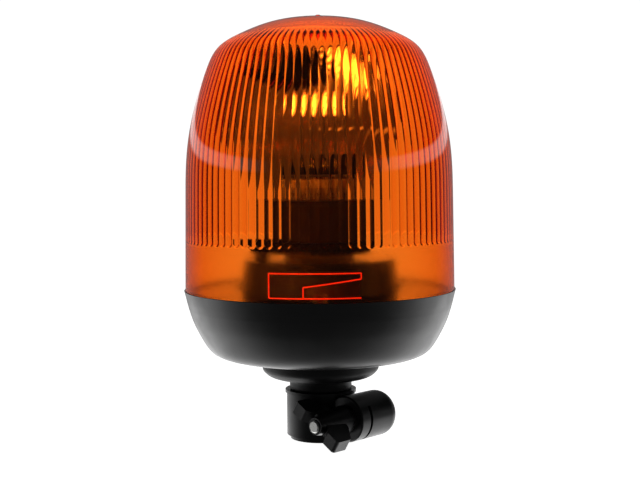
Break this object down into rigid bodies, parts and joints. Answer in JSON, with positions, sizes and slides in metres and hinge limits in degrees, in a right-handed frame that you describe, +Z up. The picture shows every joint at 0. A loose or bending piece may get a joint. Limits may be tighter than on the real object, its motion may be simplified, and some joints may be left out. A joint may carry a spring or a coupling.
{
  "type": "rotating warning beacon",
  "caption": "Rotating warning beacon: fluted amber dome over a turning reflector lamp, round black base, flexible rubber neck and a clamped pole socket with a wing nut.",
  "frame": {"origin": "centre of the pole socket's mouth", "axes": "+Z up the beacon's axis away from the pole, -Y towards the front, where the wing nut is reached"},
  "size_m": [0.1314, 0.1314, 0.2048],
  "materials": {
    "black_plastic": "satin moulded black plastic",
    "zinc_steel": "bright zinc plate",
    "brass": "plain turned brass and bronze",
    "pale_insulator": "pale moulded insulator",
    "black_rubber": "satin moulded rubber",
    "wire_insulation": "smooth wire insulation",
    "lamp_metal": "pressed steel lamp cap",
    "clear_glass": "clear lamp glass",
    "tungsten": "wound tungsten wire",
    "dark_ferrite": "sintered magnet",
    "wound_core": "lacquered copper winding on a laminated core",
    "mirror_coating": "vacuum-metallised mirror",
    "blue_film": "dipped film capacitor",
    "amber_lens": "clear amber plastic, gloss outside, fluted inside"
  },
  "bodies": {
    "clamp": {"pole_clamp": "black_plastic", "clamp_bolt": "zinc_steel", "contact_insulator": "pale_insulator", "contact_spring": "zinc_steel", "earth_contact": "brass"},
    "contact": {"centre_contact": "brass"},
    "washer": {"clamp_washer": "zinc_steel"},
    "nut": {"wing_nut": "black_plastic", "nut_insert": "brass"},
    "neck": {"flex_neck": "black_rubber", "feed_wires": "wire_insulation"},
    "head": {"base_housing": "black_plastic", "neck_plate": "zinc_steel", "neck_screws": "zinc_steel", "chassis": "black_plastic", "chassis_screws": "zinc_steel", "lamp_pillar": "zinc_steel", "pillar_circlip": "zinc_steel", "thrust_washer": "pale_insulator", "lamp_holder": "pale_insulator", "lamp_base": "lamp_metal", "lamp_glass": "clear_glass", "lamp_filament": "tungsten", "lamp_clip": "zinc_steel", "motor_can": "zinc_steel", "motor_magnets": "dark_ferrite", "motor_cap": "black_plastic", "motor_bearing": "brass", "motor_screws": "zinc_steel", "suppressor": "blue_film", "terminal_block": "pale_insulator", "supply_wires": "wire_insulation", "lamp_wire": "wire_insulation", "motor_wires": "wire_insulation"},
    "rotor": {"turntable_gear": "black_plastic", "turntable_bush": "brass", "reflector_cradle": "black_plastic", "reflector": "mirror_coating", "reflector_screws": "zinc_steel"},
    "motor_rotor": {"motor_shaft": "zinc_steel", "motor_armature": "wound_core", "motor_pinion": "black_plastic"},
    "seal": {"lens_seal": "black_rubber"},
    "lens": {"lens": "amber_lens"}
  },
  "joints": [
    {"name": "nut_travel", "type": "slide", "parent": "clamp", "child": "washer", "axis": [-0.682, -0.7314, 0], "range_m": [0, 0.00301]},
    {"name": "nut_turn", "type": "hinge", "parent": "washer", "child": "nut", "pos_m": [0.01609, -0.015, 0.0125], "axis": [-0.682, -0.7314, 0], "range_deg": [0, 1080]},
    {"name": "contact_press", "type": "slide", "parent": "clamp", "child": "contact", "axis": [0, 0, 1], "range_m": [0, 0.002], "stiffness_N_per_m": 150, "deforming": ["contact_spring"]},
    {"name": "neck_tilt_fore_aft", "type": "hinge", "parent": "clamp", "child": "neck", "pos_m": [0, 0, 0.0335], "axis": [1, 0, 0], "range_deg": [-12, 12], "stiffness_Nm_per_rad": 14, "deforming": ["flex_neck", "feed_wires"]},
    {"name": "neck_tilt_sideways", "type": "hinge", "parent": "neck", "child": "head", "pos_m": [0, 0, 0.0335], "axis": [0, 1, 0], "range_deg": [-12, 12], "stiffness_Nm_per_rad": 14, "deforming": ["flex_neck", "feed_wires"]},
    {"name": "rotor_spin", "type": "hinge", "parent": "head", "child": "rotor", "pos_m": [0, 0, 0.1], "axis": [0, 0, 1], "continuous": true},
    {"name": "motor_spin", "type": "hinge", "parent": "head", "child": "motor_rotor", "pos_m": [-0.02836, 0.005, 0.09], "axis": [0, 0, 1], "continuous": true},
    {"name": "lens_rise", "type": "slide", "parent": "head", "child": "seal", "axis": [0, 0, 1], "range_m": [0, 0.00352]},
    {"name": "lens_turn", "type": "hinge", "parent": "seal", "child": "lens", "pos_m": [0, 0, 0.1], "axis": [0, 0, 1], "range_deg": [0, 25]}
  ],
  "couplings": [
    {"joint": "nut_travel", "follows": "nut_turn", "m_per_rad": 0.00015915},
    {"joint": "motor_spin", "follows": "rotor_spin", "ratio": -5},
    {"joint": "lens_rise", "follows": "lens_turn", "m_per_rad": 0.008}
  ]
}
